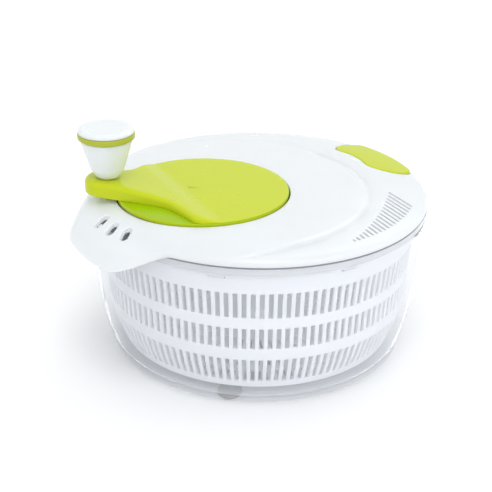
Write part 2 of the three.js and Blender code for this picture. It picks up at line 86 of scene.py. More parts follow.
GAP = 0.3
BOWL_R = span("bowl")[1].x
BOWL_TOP = span("bowl")[1].z
LID_LOW = BOWL_TOP + GAP
CRANK = axis_of("ring_gear")
KNOB = axis_of("knob_ring")
BRAKE = axis_of("brake_stem")
DISC_LOW = span("crank_disc")[0].z
ARM_ANGLE = math.atan2(KNOB[1] - CRANK[1], KNOB[0] - CRANK[0])
KNOB_REACH = math.hypot(KNOB[0] - CRANK[0], KNOB[1] - CRANK[1])
FLOOR_Z = CAD_BOX[0].z

# sizes that several pieces share
DISC_R = 63
DISC_TOP = 129.3
WELL_R = 64
RIM_TOP = BOWL_TOP - 0.8
BASKET_LOW = 9.7
BASKET_TOP = 107.5
BASKET_NOTCHES = 8
BOWL_FLOOR = 3
PIVOT_TOP = 17
SPOUT_GATE = [(-140, -36), (-100, -36), (-100, 36), (-140, 36)]


# ---------- mesh helpers ----------
def smoothstep(t):
    """0 below 0, 1 above 1, and a smooth climb between."""
    t = np.clip(t, 0.0, 1.0)
    return t * t * (3.0 - 2.0 * t)


def catmull(points, steps=8):
    """A smooth open curve through the points, which may hold any number of coordinates."""
    p = np.array(points, float)
    p = np.vstack([2 * p[0] - p[1], p, 2 * p[-1] - p[-2]])
    out = []
    for i in range(1, len(p) - 2):
        for k in range(steps):
            t = k / steps
            out.append(0.5 * (2 * p[i] + (p[i + 1] - p[i - 1]) * t
                              + (2 * p[i - 1] - 5 * p[i] + 4 * p[i + 1] - p[i + 2]) * t ** 2
                              + (3 * p[i] - p[i - 1] - 3 * p[i + 1] + p[i + 2]) * t ** 3))
    out.append(p[-2])
    return np.array(out)


def resample(points, count):
    """The same line as count points, evenly spaced along it."""
    points = np.asarray(points, float)
    run = np.concatenate([[0], np.cumsum(np.linalg.norm(np.diff(points, axis=0), axis=1))])
    at = np.linspace(0, run[-1], count)
    return np.stack([np.interp(at, run, points[:, k]) for k in range(points.shape[1])], axis=1)


def filleted(outline, steps=5):
    """A closed outline of (r, z) or (r, z, radius) corners, with each radius turned into an arc."""
    done = []
    count = len(outline)
    for i, corner in enumerate(outline):
        here = Vector(corner[:2])
        radius = corner[2] if len(corner) > 2 else 0
        before = Vector(outline[i - 1][:2]) - here
        after = Vector(outline[(i + 1) % count][:2]) - here
        if not radius or before.length < 1e-6 or after.length < 1e-6:
            done.append(tuple(here))
            continue
        half = before.angle(after) / 2
        back = min(radius / math.tan(half), before.length * 0.49, after.length * 0.49)
        start = here + before.normalized() * back
        end = here + after.normalized() * back
        for k in range(steps + 1):
            t = k / steps
            done.append(tuple(start * (1 - t) ** 2 + here * (2 * t * (1 - t)) + end * t ** 2))
    return done


def mesh_of(name, verts, faces):
    """A mesh in metres from points in millimetres, its faces turned outwards."""
    mesh = bpy.data.meshes.new(name)
    points = [tuple(float(c) * MM for c in v) for v in verts]
    mesh.from_pydata(points, [], [list(map(int, f)) for f in faces])
    work = bmesh.new()
    work.from_mesh(mesh)
    bmesh.ops.remove_doubles(work, verts=work.verts, dist=1e-7)
    bmesh.ops.recalc_face_normals(work, faces=work.faces)
    work.to_mesh(mesh)
    work.free()
    return mesh


def shade(mesh, angle):
    """Smooth shading, with the edges over an angle in degrees kept sharp."""
    mesh.shade_smooth()
    mesh.set_sharp_from_angle(angle=math.radians(angle))


def thing(name, mesh):
    """Links an object that holds the mesh."""
    made = bpy.data.objects.new(name, mesh)
    bpy.context.scene.collection.objects.link(made)
    return made


def piece(name, mesh, material, body, replaces=(), angle=32):
    """Links a finished mesh, gives it its material, hangs it on its body and hides the CAD nodes it replaces.
    """
    made = thing(name, mesh)
    mesh.materials.clear()
    mesh.materials.append(material)
    shade(mesh, angle)
    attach(made, body)
    if replaces:
        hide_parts(*replaces)
    return made


def turned(name, outline, centre=(0, 0), segments=160):
    """A closed (r, z) outline turned about an upright axis."""
    verts, rings, faces = [], [], []
    for r, z in [p[:2] for p in outline]:
        if r < 1e-6:
            rings.append([len(verts)] * segments)
            verts.append((centre[0], centre[1], z))
            continue
        rings.append(list(range(len(verts), len(verts) + segments)))
        for k in range(segments):
            a = 2 * math.pi * k / segments
            verts.append((centre[0] + r * math.cos(a), centre[1] + r * math.sin(a), z))
    for a, b in zip(rings, rings[1:] + rings[:1]):
        for k in range(segments):
            n = (k + 1) % segments
            quad = []
            for v in (a[k], a[n], b[n], b[k]):
                if v not in quad:
                    quad.append(v)
            if len(quad) > 2:
                faces.append(quad)
    return mesh_of(name, verts, faces)


def grid_solid(name, loops):
    """Closed body from rings of points: each ring is a closed loop, the first and last are capped."""
    count = len(loops[0])
    verts = np.concatenate([np.asarray(l, float) for l in loops])
    faces = []
    for i in range(len(loops) - 1):
        for k in range(count):
            n = (k + 1) % count
            faces.append((i * count + k, i * count + n, (i + 1) * count + n, (i + 1) * count + k))
    first, last = np.mean(loops[0], axis=0), np.mean(loops[-1], axis=0)
    verts = np.vstack([verts, first, last])
    top = len(loops) * count
    for k in range(count):
        n = (k + 1) % count
        faces.append((k, n, top))
        faces.append(((len(loops) - 1) * count + n, (len(loops) - 1) * count + k, top + 1))
    return mesh_of(name, verts, faces)


def combine(name, mesh, steps):
    """Cuts from and joins to a mesh: steps are (operation, mesh) in order."""
    work = thing(name + "_work", mesh)
    for operation, other in steps:
        tool = thing(name + "_tool", other)
        modifier = work.modifiers.new("cut", "BOOLEAN")
        modifier.operation = operation
        modifier.object = tool
        modifier.solver = "MANIFOLD"
        graph = bpy.context.evaluated_depsgraph_get()
        result = bpy.data.meshes.new_from_object(work.evaluated_get(graph))
        work.modifiers.clear()
        work.data = result
        bpy.data.objects.remove(tool)
    result = work.data
    result.name = name
    bpy.data.objects.remove(work)
    return result


# ---------- materials ----------
def plastic(name, colour, roughness, grain=900.0, bump=0.03, spread=0.04, subsurface=0.0,
            specular=0.5):
    """Moulded plastic: slightly uneven gloss, faint colour drift and a very fine moulded grain."""
    material = bpy.data.materials.new(name)
    material.use_nodes = True
    nodes, links = material.node_tree.nodes, material.node_tree.links
    shader = nodes["Principled BSDF"]
    place = nodes.new("ShaderNodeTexCoord")

    drift = nodes.new("ShaderNodeTexNoise")
    drift.inputs["Scale"].default_value = 22.0
    drift.inputs["Detail"].default_value = 3.0
    links.new(place.outputs["Object"], drift.inputs["Vector"])
    tint = nodes.new("ShaderNodeMix")
    tint.data_type = "RGBA"
    tint.inputs["A"].default_value = (*[c * 0.97 for c in colour], 1)
    tint.inputs["B"].default_value = (*[min(1.0, c * 1.02) for c in colour], 1)
    links.new(drift.outputs["Fac"], tint.inputs["Factor"])
    links.new(tint.outputs["Result"], shader.inputs["Base Color"])

    gloss = nodes.new("ShaderNodeMapRange")
    gloss.inputs["From Min"].default_value = 0.3
    gloss.inputs["From Max"].default_value = 0.7
    gloss.inputs["To Min"].default_value = roughness - spread
    gloss.inputs["To Max"].default_value = roughness + spread
    links.new(drift.outputs["Fac"], gloss.inputs["Value"])
    links.new(gloss.outputs["Result"], shader.inputs["Roughness"])

    fine = nodes.new("ShaderNodeTexNoise")
    fine.inputs["Scale"].default_value = grain
    fine.inputs["Detail"].default_value = 2.0
    links.new(place.outputs["Object"], fine.inputs["Vector"])
    bumps = nodes.new("ShaderNodeBump")
    bumps.inputs["Strength"].default_value = bump
    bumps.inputs["Distance"].default_value = 0.0003
    links.new(fine.outputs["Fac"], bumps.inputs["Height"])
    links.new(bumps.outputs["Normal"], shader.inputs["Normal"])

    shader.inputs["IOR"].default_value = 1.5
    shader.inputs["Subsurface Weight"].default_value = subsurface
    shader.inputs["Subsurface Radius"].default_value = (1.0, 1.0, 0.9)
    shader.inputs["Subsurface Scale"].default_value = 0.006
    shader.inputs["Specular IOR Level"].default_value = specular
    return material


def clear_plastic():
    """Clear moulded plastic that lets lamp light through to what is inside it."""
    material = bpy.data.materials.new("clear_plastic")
    material.use_nodes = True
    nodes, links = material.node_tree.nodes, material.node_tree.links
    shader = nodes["Principled BSDF"]
    shader.inputs["Base Color"].default_value = (0.98, 0.985, 1.0, 1)
    shader.inputs["IOR"].default_value = 1.025
    shader.inputs["Coat Weight"].default_value = 0.5
    shader.inputs["Coat Roughness"].default_value = 0.03
    place = nodes.new("ShaderNodeTexCoord")
    haze = nodes.new("ShaderNodeTexNoise")
    haze.inputs["Scale"].default_value = 30.0
    haze.inputs["Detail"].default_value = 4.0
    links.new(place.outputs["Object"], haze.inputs["Vector"])
    gloss = nodes.new("ShaderNodeMapRange")
    gloss.inputs["From Min"].default_value = 0.35
    gloss.inputs["From Max"].default_value = 0.75
    gloss.inputs["To Min"].default_value = 0.0
    gloss.inputs["To Max"].default_value = 0.03
    links.new(haze.outputs["Fac"], gloss.inputs["Value"])
    links.new(gloss.outputs["Result"], shader.inputs["Roughness"])

    split = nodes.new("ShaderNodeSeparateXYZ")
    links.new(place.outputs["Object"], split.inputs["Vector"])
    milky = nodes.new("ShaderNodeMapRange")
    milky.interpolation_type = "SMOOTHSTEP"
    milky.inputs["From Min"].default_value = 0.002
    milky.inputs["From Max"].default_value = 0.02
    milky.inputs["To Min"].default_value = 0.78
    milky.inputs["To Max"].default_value = 0.9
    links.new(split.outputs["Z"], milky.inputs["Value"])
    links.new(milky.outputs["Result"], shader.inputs["Transmission Weight"])

    rays = nodes.new("ShaderNodeLightPath")
    passing = nodes.new("ShaderNodeBsdfTransparent")
    passing.inputs["Color"].default_value = (0.99, 0.995, 1.0, 1)
    mix = nodes.new("ShaderNodeMixShader")
    links.new(rays.outputs["Is Shadow Ray"], mix.inputs["Fac"])
    links.new(shader.outputs["BSDF"], mix.inputs[1])
    links.new(passing.outputs["BSDF"], mix.inputs[2])
    links.new(mix.outputs["Shader"], nodes["Material Output"].inputs["Surface"])
    return material


def paint_low_shade(material, below, colour, centre, radius):
    """Gives a plastic a deeper colour below a height and inside a radius: painted shade on the low parts
    there.
    """
    nodes, links = material.node_tree.nodes, material.node_tree.links
    shader = nodes["Principled BSDF"]
    surface = shader.inputs["Base Color"].links[0].from_socket
    place = nodes.new("ShaderNodeTexCoord")
    split = nodes.new("ShaderNodeSeparateXYZ")
    links.new(place.outputs["Object"], split.inputs["Vector"])
    depth = nodes.new("ShaderNodeMapRange")
    depth.interpolation_type = "SMOOTHSTEP"
    depth.inputs["From Min"].default_value = below * MM
    depth.inputs["From Max"].default_value = (below + 0.4) * MM
    links.new(split.outputs["Z"], depth.inputs["Value"])
    flat = nodes.new("ShaderNodeCombineXYZ")
    links.new(split.outputs["X"], flat.inputs["X"])
    links.new(split.outputs["Y"], flat.inputs["Y"])
    reach = nodes.new("ShaderNodeVectorMath")
    reach.operation = "DISTANCE"
    reach.inputs[1].default_value = (centre[0] * MM, centre[1] * MM, 0)
    links.new(flat.outputs["Vector"], reach.inputs[0])
    outside = nodes.new("ShaderNodeMapRange")
    outside.inputs["From Min"].default_value = (radius - 0.4) * MM
    outside.inputs["From Max"].default_value = radius * MM
    links.new(reach.outputs["Value"], outside.inputs["Value"])
    either = nodes.new("ShaderNodeMath")
    either.operation = "MAXIMUM"
    links.new(depth.outputs["Result"], either.inputs[0])
    links.new(outside.outputs["Result"], either.inputs[1])
    blend = nodes.new("ShaderNodeMix")
    blend.data_type = "RGBA"
    blend.inputs["A"].default_value = (*colour, 1)
    links.new(surface, blend.inputs["B"])
    links.new(either.outputs["Value"], blend.inputs["Factor"])
    links.new(blend.outputs["Result"], shader.inputs["Base Color"])


def steel():
    """Turned steel with fine rings and slightly uneven shine."""
    material = bpy.data.materials.new("steel")
    material.use_nodes = True
    nodes, links = material.node_tree.nodes, material.node_tree.links
    shader = nodes["Principled BSDF"]
    shader.inputs["Base Color"].default_value = (0.56, 0.57, 0.58, 1)
    shader.inputs["Metallic"].default_value = 1.0
    place = nodes.new("ShaderNodeTexCoord")
    streaks = nodes.new("ShaderNodeTexNoise")
    streaks.inputs["Scale"].default_value = 600.0
    links.new(place.outputs["Object"], streaks.inputs["Vector"])
    gloss = nodes.new("ShaderNodeMapRange")
    gloss.inputs["To Min"].default_value = 0.2
    gloss.inputs["To Max"].default_value = 0.42
    links.new(streaks.outputs["Fac"], gloss.inputs["Value"])
    links.new(gloss.outputs["Result"], shader.inputs["Roughness"])
    return material


CLEAR = clear_plastic()
WHITE = plastic("white_plastic", (0.75, 0.78, 0.79), 0.24, subsurface=0.6)
BASKET = plastic("basket_plastic", (0.88, 0.9, 0.925), 0.34, subsurface=0.8)
LIME = plastic("lime_plastic", (0.52, 0.595, 0.02), 0.26, specular=0.32)
CRANK_LIME = plastic("crank_lime", (0.525, 0.6, 0.012), 0.26, specular=0.2)
# painted shadow: a dark grey for the line between the lid and the bowl
RIM_SHADOW_GREY = plastic("rim_shadow_grey", (0.26, 0.26, 0.31), 0.6, grain=1500, bump=0.1)
# painted shade: the knob's band is a darker copy of the lime, for the shade on its upright face
SHADED_BAND_LIME = plastic("shaded_band_lime", (0.40, 0.44, 0.03), 0.3, specular=0.32)
RUBBER = plastic("grey_rubber", (0.05, 0.05, 0.055), 0.7, grain=1500, bump=0.15, spread=0.08)
NYLON = plastic("nylon", (0.74, 0.74, 0.69), 0.45, subsurface=0.1)
STEEL = steel()
# painted shade: the crank plate's low face, where it shows beside the swoosh, gets a deeper green
paint_low_shade(CRANK_LIME, DISC_TOP + 0.05, (0.33, 0.50, 0.003), CRANK, DISC_R + 0.1)


# ---------- bowl and feet ----------
def bowl():
    """The clear bowl: a turned wall with a rim, and a pivot and three recesses for the feet in its floor."""
    outer = catmull([(105.7, 0.0), (110.6, 1.5), (113.2, 6.0), (115.4, 13.5), (119.4, 29.5), (123.4, 56.5),
                     (125.7, 85), (126.4, BOWL_TOP - 6)], 8)
    inner = catmull([(124.1, 105), (123.3, 85), (121, 56.5), (117, 29.5), (112.8, 13.5), (110, 7.2),
                     (106.5, 4.2), (101, BOWL_FLOOR + 0.1), (92, BOWL_FLOOR)], 8)
    rim = filleted([(BOWL_R, BOWL_TOP - 5, 0.9), (BOWL_R, RIM_TOP, 0.6), (BOWL_R - 2.4, RIM_TOP, 0.6),
                    (BOWL_R - 2.6, 109, 1)], 4)
    pivot = filleted([(9, BOWL_FLOOR, 1.5), (7.2, 5, 0.8), (5, 16.2, 0.6), (3.5, PIVOT_TOP, 0.5)], 3)
    outline = [(0, 0), (100, 0), *map(tuple, outer), *rim, *map(tuple, inner), *pivot, (0, PIVOT_TOP)]
    body = turned("bowl_body", outline, segments=256)
    cuts = []
    for i in (1, 2, 3):
        low, high = span(f"foot_{i}")
        r = (high.x - low.x) / 2 + GAP
        hole = filleted([(0, -1), (r, -1), (r, high.z + GAP, 0.3), (0, high.z + GAP)], 3)
        cuts.append(("DIFFERENCE", turned("recess", hole, axis_of(f"foot_{i}"), 64)))
    piece("clear_bowl", combine("bowl_mesh", body, cuts), CLEAR, "bowl", ["bowl"])


def feet():
    """Rubber feet with a groove in each sole."""
    for i in (1, 2, 3):
        low, high = span(f"foot_{i}")
        r = (high.x - low.x) / 2
        groove = [(r - 2.4, low.z, 0.2), (r - 1.8, low.z + 0.25, 0.2), (r - 1.3, low.z, 0.2)]
        outline = filleted([(0, low.z), *groove, (r, low.z, 0.6), (r, high.z, 0.2), (0, high.z)], 4)
        mesh = turned(f"foot_mesh_{i}", outline, axis_of(f"foot_{i}"), 64)
        piece(f"rubber_foot_{i}", mesh, RUBBER, "bowl", [f"foot_{i}"])


# ---------- basket ----------
SLOTS = 120
SLOT_SHARE = 0.56
WALL_ROWS = [(16.5, 37.8), (47.1, 63.5), (72.0, 91.9)]
FLOOR_TOP = 12
FLOOR_RINGS = (12, 36, 40, 58, 63, 78, 83, 98)
# where the floor is open, and at every how many slots of the wall
FLOOR_SLOTS = {(40, 58): 3, (63, 78): 2, (83, 98): 1}
SOCKET_TOP = 17.4
HUB_TOP = 20.0


def basket():
    """One skin of paired outer and inner points between rib edges, left open where a row has slots."""
    outer = catmull([(101.5, BASKET_LOW), (104.6, 10.6), (107, 16.5), (110.9, 27), (113.9, 37.8),
                     (114.9, 47.1), (115.8, 63.5), (116.3, 72), (118.5, 91.9), (119.3, 105.2)], 1)
    rows = [dict(o=(9.3, BASKET_LOW), i=(9.6, HUB_TOP))]
    for r in FLOOR_RINGS:
        rows.append(dict(o=(r, BASKET_LOW), i=(r, FLOOR_TOP)))
    for r, z in outer:
        lift = min(2.3, max(0.0, (16.5 - z) * 0.35))
        rows.append(dict(o=(r, z), i=(r - 2.2 - max(0.0, (14 - z) * 0.15), z + lift)))
    rows += [dict(o=(121.4, 105.3), i=(116.9, 105.6)), dict(o=(122, 105.8), i=(116.9, 106.4)),
             dict(o=(122, 107.1), i=(116.95, 107.1)), dict(o=(121.6, BASKET_TOP), i=(117.3, BASKET_TOP))]

    half = SLOT_SHARE / 2
    angles = []
    for s in range(SLOTS):
        angles += [(s - half) * 2 * math.pi / SLOTS, (s + half) * 2 * math.pi / SLOTS]
    columns = len(angles)

    def opened(column, low, high):
        """True if the cell right of this column, between two rows, is a slot."""
        if column % 2:
            return False
        slot_number = column // 2
        if high["o"][1] == BASKET_LOW:
            for (start, end), every in FLOOR_SLOTS.items():
                if start <= low["o"][0] < end and slot_number % every == 0:
                    return True
            return False
        middle = (low["o"][1] + high["o"][1]) / 2
        return any(a < middle < b for a, b in WALL_ROWS)

    verts = []
    for row in rows:
        for side in ("o", "i"):
            r, z = row[side]
            verts += [(r * math.cos(a), r * math.sin(a), z) for a in angles]

    def at(j, side, k):
        """Number of the point in row j, on the outer or inner side, at column k."""
        return (2 * j + (side == "i")) * columns + k % columns

    def across(j, k, n, m):
        """The face through the wall between two neighbouring points, (j, k) and (n, m)."""
        return at(j, "o", k), at(n, "o", m), at(n, "i", m), at(j, "i", k)

    faces = []
    for j in range(len(rows) - 1):
        for k in range(columns):
            if opened(k, rows[j], rows[j + 1]):
                if not opened(k - 1, rows[j], rows[j + 1]):
                    faces.append(across(j, k, j + 1, k))
                if not opened(k + 1, rows[j], rows[j + 1]):
                    faces.append(across(j + 1, k + 1, j, k + 1))
                if not (j and opened(k, rows[j - 1], rows[j])):
                    faces.append(across(j, k + 1, j, k))
                if not opened(k, rows[j + 1], rows[min(j + 2, len(rows) - 1)]):
                    faces.append(across(j + 1, k, j + 1, k + 1))
                continue
            faces.append((at(j, "o", k), at(j, "o", k + 1), at(j + 1, "o", k + 1), at(j + 1, "o", k)))
            faces.append((at(j, "i", k), at(j + 1, "i", k), at(j + 1, "i", k + 1), at(j, "i", k + 1)))
    last = len(rows) - 1
    for k in range(columns):
        faces.append((at(last, "o", k), at(last, "o", k + 1), at(last, "i", k + 1), at(last, "i", k)))
    # the hub: socket below, dome above
    for side, path in (("o", [(7.3, BASKET_LOW), (5.5, 16.4), (4.5, SOCKET_TOP)]), ("i", [(8.8, HUB_TOP)])):
        ring = [at(0, side, k) for k in range(columns)]
        for r, z in path:
            start = len(verts)
            verts += [(r * math.cos(a), r * math.sin(a), z) for a in angles]
            for k in range(columns):
                n = (k + 1) % columns
                faces.append((ring[k], ring[n], start + n, start + k))
            ring = list(range(start, start + columns))
        tip = len(verts)
        verts.append((0, 0, SOCKET_TOP if side == "o" else HUB_TOP + 0.4))
        faces += [(ring[k], ring[(k + 1) % columns], tip) for k in range(columns)]

    body = mesh_of("basket_body", verts, faces)
    notches = []
    for n in range(BASKET_NOTCHES):
        a = 2 * math.pi * n / BASKET_NOTCHES
        corners = []
        for r, side in ((112, -6), (120.6, -6), (120.6, 6), (112, 6)):
            corners.append((r * math.cos(a) - side * math.sin(a), r * math.sin(a) + side * math.cos(a)))
        loops = [[(x, y, z) for x, y in corners] for z in (BASKET_TOP - 4.5, BASKET_TOP + 1.5)]
        notches.append(("DIFFERENCE", grid_solid("notch", loops)))
    mesh = combine("basket_mesh", body, notches)
    piece("slotted_basket", mesh, BASKET, "basket", ["basket"])


# ---------- lid ----------
SPOUT_MIDDLE = math.radians(181)
SPOUT_FLAT = math.radians(11)
SPOUT_HALF = math.radians(31)
PLATEAU_X = -30
PLATEAU_R = 108
PLATEAU_TOP = 128.5
# heights by distance from the bowl's axis: the lid's roof, and the lower crescent beside the plateau
ENVELOPE = catmull([(0, 128.6), (60, 128.5), (85, 128.4), (95, 128.1), (105, 127.3), (112, 126.1),
                    (118, 124.4), (121, 123.2), (124.7, 120.9), (130, 116)], 6)
CRESCENT = catmull([(0, 124.9), (60, 124.8), (78, 124.6), (95, 124.0), (108, 123.3), (118, 122.4),
                    (124.7, 121.2), (130, 119.8)], 6)


def lid_top(x, y):
    """Height of the lid's upper face, before its edge is rounded off."""
    r = np.hypot(x, y)
    q = np.hypot(x - PLATEAU_X, y)
    low = np.interp(r, CRESCENT[:, 0], CRESCENT[:, 1])
    high = PLATEAU_TOP - 2.0 * (q / PLATEAU_R) ** 4
    deck = low + np.maximum(high - low, 0) * (1 - smoothstep((q - PLATEAU_R + 3.2) / 4.2))
    edge = np.interp(r, ENVELOPE[:, 0], ENVELOPE[:, 1])
    soft = 0.35
    return -soft * np.logaddexp(-deck / soft, -edge / soft)


def spout_share(theta):
    """How much of the spout's own profile the lid's side has at an angle, from 0 to 1."""
    away = abs((theta - SPOUT_MIDDLE + math.pi) % (2 * math.pi) - math.pi)
    return 1.0 - float(smoothstep((away - SPOUT_FLAT) / (SPOUT_HALF - SPOUT_FLAT)))


SPOUT_HOLES = (178, 189, 199.5)
HOLE_REACH = 80
HOLE_HALF = 2
HOLE_SWIRL = 18
MOUTH_WIDTH = 7.0
PASSAGE_WIDTH = 4.6
RING_IN = 122.2
RING_OUT = 124.1
RING_LOW = 108.2
RING_TOP = 118
WELL_LOW = 113
WELL_FLOOR = 115.5
ABOVE = 140.0
RIM_START = 112
SIDE_START = 124.4
SIDE_POINTS = 34
SPOUT_SIDE = [(RIM_START, 126.1), (118, 124.5), (125, 121.5), (132, 117.5), (138, 112.7), (142.3, 106.8),
              (144.7, 102), (145.5, 99.6), (145.4, 99.2), (144.9, 99.0)]
# how many of a side's points run outwards, before it turns under
SPOUT_RISING = 26
SHELL = 2.5


def rim_profile(theta, inset):
    """The lid's side at one angle, from RIM_START out and down to its lower edge, as (r, z)."""
    radii = np.linspace(RIM_START, SIDE_START, 14)
    heights = lid_top(radii * math.cos(theta), radii * math.sin(theta))
    last = heights[-1]
    corner = catmull([(SIDE_START, last), (125.7, last - 0.85), (126.6, 119.1), (127, 117.6)], 4)
    foot = [(127, LID_LOW + 0.7), (126.9, LID_LOW + 0.3), (126.5, LID_LOW)]
    edge = resample(np.vstack([np.stack([radii, heights], 1), corner[1:], foot]), SIDE_POINTS)
    share = spout_share(theta)
    side = catmull(SPOUT_SIDE, 6)
    side[:, 1] += (heights[0] - side[0, 1]) * (1 - smoothstep((side[:, 0] - RIM_START) / 8))
    middle = resample(side, SIDE_POINTS)
    line = edge + (middle - edge) * share
    if inset:
        step = np.gradient(line, axis=0)
        step /= np.linalg.norm(step, axis=1)[:, None]
        line = line + np.stack([step[:, 1], -step[:, 0]], 1) * inset
        line[0, 0] = RIM_START
    return line


def lid_body(name, around, inset, rings):
    """The lid as a filled body, its top built of rings about the bowl's axis."""
    angles = 2 * np.pi * np.arange(around) / around
    loops = []
    for r in rings:
        x, y = r * np.cos(angles), r * np.sin(angles)
        loops.append(np.stack([x, y, lid_top(x, y) - inset], 1))
    sides = np.array([rim_profile(a, inset) for a in angles])
    for k in range(sides.shape[1]):
        r, z = sides[:, k, 0], sides[:, k, 1]
        loops.append(np.stack([r * np.cos(angles), r * np.sin(angles), z], 1))
    if inset:
        bottom = loops[-1].copy()
        bottom[:, 2] -= 2
        loops.append(bottom)
    inward = loops[-1].copy()
    inward[:, :2] *= 100 / np.hypot(inward[:, 0], inward[:, 1])[:, None]
    return grid_solid(name, loops + [inward])


def follow_cutter(name, outline, floor, lip, top=lid_top):
    """A cutter with a rounded mouth: its sides rise from floor and open out by lip at the lid's face."""
    outline = np.asarray(outline, float)
    out = pushed(outline, 1) - outline
    face = top(outline[:, 0], outline[:, 1])
    loops = [np.column_stack([outline, np.full(len(outline), floor)])]
    for turn in np.radians([0, 20, 40, 60, 75]):
        grown = outline + out * lip * (1 - math.cos(turn))
        loops.append(np.column_stack([grown, face - lip + lip * math.sin(turn)]))
    grown = outline + out * lip * 1.1
    loops.append(np.column_stack([grown, face + lip * 0.5]))
    loops.append(np.column_stack([grown, np.full(len(outline), ABOVE)]))
    return grid_solid(name, loops)


def circle(radius, centre, count=256):
    """Points of a circle from above."""
    a = 2 * np.pi * np.arange(count) / count
    return np.stack([centre[0] + radius * np.cos(a), centre[1] + radius * np.sin(a)], 1)


def polar(r, degrees):
    """A point at a distance and an angle from the bowl's axis."""
    return r * math.cos(math.radians(degrees)), r * math.sin(math.radians(degrees))


def pushed(line, by):
    """A closed outline moved outwards by a distance."""
    before = line - np.roll(line, 1, axis=0)
    after = np.roll(line, -1, axis=0) - line
    mid = before / np.linalg.norm(before, axis=1)[:, None] + after / np.linalg.norm(after, axis=1)[:, None]
    mid /= np.linalg.norm(mid, axis=1)[:, None]
    return line + np.stack([mid[:, 1], -mid[:, 0]], 1) * by


def button_outline(by=0.0):
    """The brake button's leaf outline, pushed outwards by a distance."""
    outer = [polar(123.8, a) for a in np.linspace(-15.2, 13.2, 60)]
    leaf = [(123.2, 14.5), (118, 18), (112.5, 20.5), (106.5, 20.8), (101, 19), (99.7, 15.5), (100, 10),
            (98.6, 2.6), (95.9, -5), (98.5, -10), (104, -14.3), (110.5, -17), (118, -17.9), (123.0, -16.4)]
    inner = catmull([polar(r, a) for r, a in leaf], 8)
    return pushed(resample(np.vstack([outer, inner, outer[:1]]), 241)[:-1], by)


def prism(name, outline, low, high):
    """An upright body with flat ends over a closed outline."""
    outline = np.asarray(outline, float)
    return grid_solid(name, [np.column_stack([outline, np.full(len(outline), z)]) for z in (low, high)])


def slot_outline(start, end, width, arc=6):
    """An oblong with round ends between two points."""
    start, end = np.array(start, float), np.array(end, float)
    along = math.atan2(end[1] - start[1], end[0] - start[0])
    points = []
    for centre, turn in ((end, 0), (start, math.pi)):
        for k in range(arc + 1):
            a = along + turn - math.pi / 2 + math.pi * k / arc
            points.append((centre[0] + width / 2 * math.cos(a), centre[1] + width / 2 * math.sin(a)))
    return points


def comb_slots():
    """Outlines of the comb's slots, from a bowed line out to an arc near the lid's edge."""
    count, first, pitch, width, outer_r = 18, 5, 4.18, 1.7, 117.5
    near_first, near_run, bow = -114.3, 53.1, 23
    for i in range(count):
        x = first + pitch * i
        along = i / (count - 1)
        near = near_first + near_run * along - bow * along * (1 - along)
        far = -math.sqrt(outer_r ** 2 - x ** 2)
        yield slot_outline((x, near - width / 2), (x, far + width / 2), width, 8)


def lid():
    """The lid: a filled body made hollow, with the parts below it joined on and its openings cut last."""
    rings = [4, 20, 40, 60, 70, 76, *np.arange(78, RIM_START, 1.25)]
    body = lid_body("lid_body", 480, 0, rings)
    hollow = lid_body("lid_hollow", 240, SHELL, [4, 40, 70, 90, 100, 106])
    under = LID_LOW - 0.05
    steps = [
        ("DIFFERENCE", hollow),
        ("DIFFERENCE", turned("clearance", [(0, 90), (127.35, 90), (127.35, under), (0, under)])),
    ]
    locating = turned("locating", filleted([
        (RING_IN, RING_LOW, 0.4), (RING_OUT, RING_LOW, 0.4), (RING_OUT, LID_LOW), (RING_OUT + 0.9, LID_LOW),
        (RING_OUT + 0.9, RING_TOP), (RING_IN, RING_TOP)], 3), segments=240)
    gate = prism("gate", SPOUT_GATE, 105, RING_TOP + 0.3)
    steps.append(("UNION", combine("ring", locating, [("DIFFERENCE", gate)])))

    steps.append(("DIFFERENCE", follow_cutter("well", circle(WELL_R, CRANK), WELL_LOW + 0.2, 0.7)))
    keep = lid_body("keep", 240, 0, [4, 60, 90, 106])
    outer = WELL_R + 2
    wall = [(WELL_R, WELL_LOW), (outer, WELL_LOW), (outer, 123.4), (WELL_R, 123.4)]
    steps.append(("UNION", turned("wall", wall, CRANK, 256)))
    floor = filleted([(0, WELL_LOW), (outer, WELL_LOW, 0.5), (outer, WELL_FLOOR), (0, WELL_FLOOR)], 3)
    steps.append(("UNION", turned("floor", floor, CRANK, 256)))

    pocket = follow_cutter("pocket", button_outline(0.5), 113.3, 0.5)
    box = prism("box", button_outline(2.3), 111.8, 130)
    inner_keep = turned("inner_keep", [(0, 110), (124, 110), (124, 119), (0, 119)], segments=240)
    box_low = combine("box_low", box.copy(), [("INTERSECT", inner_keep)])
    box_high = combine("box_high", box, [("INTERSECT", keep)])
    steps += [("UNION", box_low), ("UNION", box_high), ("DIFFERENCE", pocket)]

    for outline in comb_slots():
        steps.append(("DIFFERENCE", follow_cutter("comb", outline, 108, 0.4)))
    for angle in SPOUT_HOLES:
        middle = np.add(CRANK, polar(HOLE_REACH, angle))
        ends = [middle + polar(half, angle + HOLE_SWIRL) for half in (-HOLE_HALF, HOLE_HALF)]
        mouth = np.array(slot_outline(*ends, MOUTH_WIDTH, 12))
        mouth_floor = spout_top(mouth[:, 0], mouth[:, 1]) - 1.5
        steps.append(("DIFFERENCE", follow_cutter("dimple", mouth, mouth_floor, 0.8, spout_top)))
        steps.append(("DIFFERENCE", prism("drain", slot_outline(*ends, PASSAGE_WIDTH, 12), 104, 135)))
    for (x, y), r in ((CRANK, 8), ((0, 0), 7.3), (BRAKE, 3)):
        steps.append(("DIFFERENCE", turned("hole", [(0, 100), (r, 100), (r, 120), (0, 120)], (x, y), 48)))
    mesh = combine("lid_mesh", body, steps)
    piece("lid_shell", mesh, WHITE, "lid", ["lid"], angle=38)


